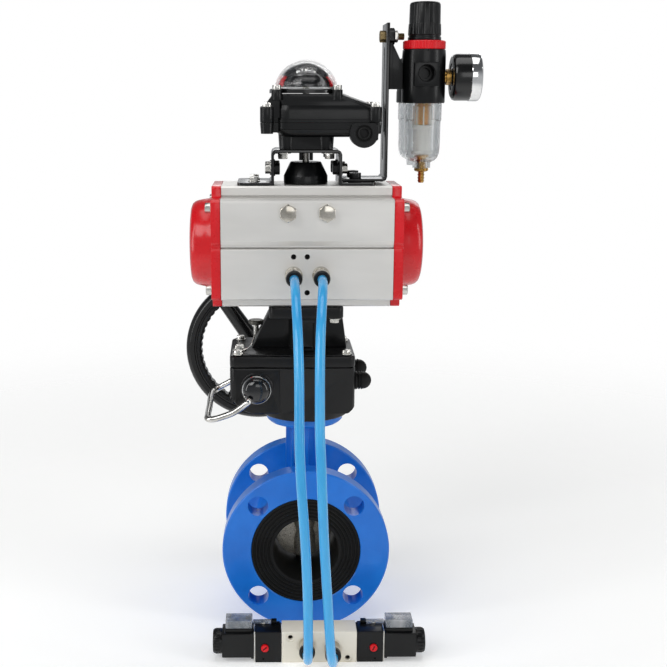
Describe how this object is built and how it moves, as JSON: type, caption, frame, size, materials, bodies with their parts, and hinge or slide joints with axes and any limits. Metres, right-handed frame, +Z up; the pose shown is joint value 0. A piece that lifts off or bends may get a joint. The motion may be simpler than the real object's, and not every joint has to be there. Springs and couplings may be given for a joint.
{
  "type": "actuated butterfly valve with rotary pneumatic actuator",
  "caption": "Flanged butterfly valve with rack-and-pinion pneumatic actuator, declutchable worm gear, position box, air service unit and solenoid valve.",
  "frame": {"origin": "on the floor, under the middle of the rigid object's box", "axes": "+Z up along the valve stem; -Y is the front with the air ports; +X is the side of the air service unit"},
  "size_m": [0.2784, 0.3128, 0.5707],
  "materials": {
    "blue_paint": "smooth glossy blue epoxy enamel on cast iron",
    "black_rubber": "moulded black nitrile rubber",
    "black_paint": "satin black powder coat",
    "bright_steel": "bright zinc or stainless steel",
    "anodised_aluminium": "hard-anodised extruded aluminium, fine satin",
    "red_paint": "glossy red polyester powder coat on die-cast aluminium",
    "nickel_plate": "nickel-plated brass with a black collar",
    "black_plastic": "moulded black polyamide",
    "clear_plastic": "clear polycarbonate",
    "amber_filter": "sintered filter element",
    "brass_fitting": "turned brass",
    "cream_paint": "satin cream coated aluminium",
    "blue_tube": "polyurethane tube, smooth",
    "rough_nickel": "cast disc, rough plated",
    "bronze_gear": "cast bronze",
    "red_plastic": "moulded red plastic",
    "chrome_wire": "polished stainless wire"
  },
  "bodies": {
    "root": {"valve_body": "blue_paint", "seat_liner": "black_rubber", "gear_case": "black_paint", "gear_case_cover": "black_paint", "lock_screw": "bright_steel", "stop_screw_front": "black_rubber", "stop_screw_rear": "black_rubber", "pedestal": "black_paint", "actuator_body": "anodised_aluminium", "end_cap_left": "red_paint", "end_cap_right": "red_paint", "travel_stop_left": "bright_steel", "travel_stop_right": "bright_steel", "port_fitting_left": "nickel_plate", "port_fitting_right": "nickel_plate", "indicator_bracket": "black_paint", "switch_box_base": "black_plastic", "switch_box_cover": "black_plastic", "indicator_dome": "clear_plastic", "limit_switches": "black_plastic", "air_set_post": "black_paint", "air_set_bracket": "black_paint", "regulator_body": "black_plastic", "filter_bowl": "clear_plastic", "filter_element": "amber_filter", "lubricator_body": "black_plastic", "lubricator_bowl": "clear_plastic", "gauge_case": "black_paint", "gauge_stem": "brass_fitting", "solenoid_valve_body": "cream_paint", "pilot_head_left": "black_plastic", "pilot_head_right": "black_plastic", "solenoid_coil_left": "black_plastic", "solenoid_coil_right": "black_plastic", "valve_fitting_left": "nickel_plate", "valve_fitting_right": "nickel_plate", "air_tube_left": "blue_tube", "air_tube_right": "blue_tube"},
    "drive": {"valve_disc": "rough_nickel", "valve_stem": "bright_steel", "worm_quadrant": "bronze_gear", "drive_adapter": "bright_steel", "actuator_pinion": "bright_steel", "indicator_coupling": "black_plastic", "indicator_shaft": "bright_steel", "switch_cams": "red_plastic", "indicator_rotor": "red_plastic"},
    "left_piston": {"piston_left": "anodised_aluminium"},
    "right_piston": {"piston_right": "anodised_aluminium"},
    "manual_drive": {"worm_shaft": "bright_steel", "handwheel": "black_plastic"},
    "declutch": {"declutch_cap": "black_plastic", "declutch_lever": "chrome_wire"},
    "pressure_knob": {"regulator_knob": "black_plastic"},
    "drip_knob": {"oil_drip_knob": "black_plastic"},
    "drain": {"drain_cock": "brass_fitting"},
    "needle": {"gauge_needle": "black_paint"},
    "left_button": {"override_button_left": "red_plastic"},
    "right_button": {"override_button_right": "red_plastic"},
    "spool": {"valve_spool": "bright_steel"}
  },
  "joints": [
    {"name": "drive_turn", "type": "hinge", "parent": "root", "child": "drive", "pos_m": [-0.019, 0.0065, 0.3563], "axis": [0, 0, 1], "range_deg": [-12, 78]},
    {"name": "left_piston_slide", "type": "slide", "parent": "root", "child": "left_piston", "axis": [-1, 0, 0], "range_m": [-0.0029, 0.0185]},
    {"name": "right_piston_slide", "type": "slide", "parent": "root", "child": "right_piston", "axis": [1, 0, 0], "range_m": [-0.0029, 0.0185]},
    {"name": "handwheel_turn", "type": "hinge", "parent": "root", "child": "manual_drive", "pos_m": [-0.064, 0.0065, 0.229], "axis": [0, 1, 0], "continuous": true},
    {"name": "declutch_lever_turn", "type": "hinge", "parent": "root", "child": "declutch", "pos_m": [-0.064, 0.0065, 0.229], "axis": [0, 1, 0], "range_deg": [0, 60]},
    {"name": "pressure_knob_turn", "type": "hinge", "parent": "root", "child": "pressure_knob", "pos_m": [0.0865, 0.0065, 0.55], "axis": [0, 0, 1], "range_deg": [-720, 720]},
    {"name": "drip_knob_turn", "type": "hinge", "parent": "root", "child": "drip_knob", "pos_m": [0.0865, 0.0485, 0.53], "axis": [0, 0, 1], "range_deg": [-180, 180]},
    {"name": "drain_turn", "type": "hinge", "parent": "root", "child": "drain", "pos_m": [0.0865, 0.0065, 0.42], "axis": [0, 0, 1], "range_deg": [0, 180]},
    {"name": "needle_turn", "type": "hinge", "parent": "root", "child": "needle", "pos_m": [0.1295, 0.0065, 0.5057], "axis": [-1, 0, 0], "range_deg": [0, 270]},
    {"name": "left_button_push", "type": "slide", "parent": "root", "child": "left_button", "axis": [0, 1, 0], "range_m": [0, 0.0015], "stiffness_N_per_m": 500},
    {"name": "right_button_push", "type": "slide", "parent": "root", "child": "right_button", "axis": [0, 1, 0], "range_m": [0, 0.0015], "stiffness_N_per_m": 500},
    {"name": "spool_shift", "type": "slide", "parent": "root", "child": "spool", "axis": [1, 0, 0], "range_m": [-0.0025, 0.0025]}
  ],
  "couplings": [
    {"joint": "left_piston_slide", "follows": "drive_turn", "m_per_rad": 0.0135},
    {"joint": "right_piston_slide", "follows": "drive_turn", "m_per_rad": 0.0135}
  ]
}
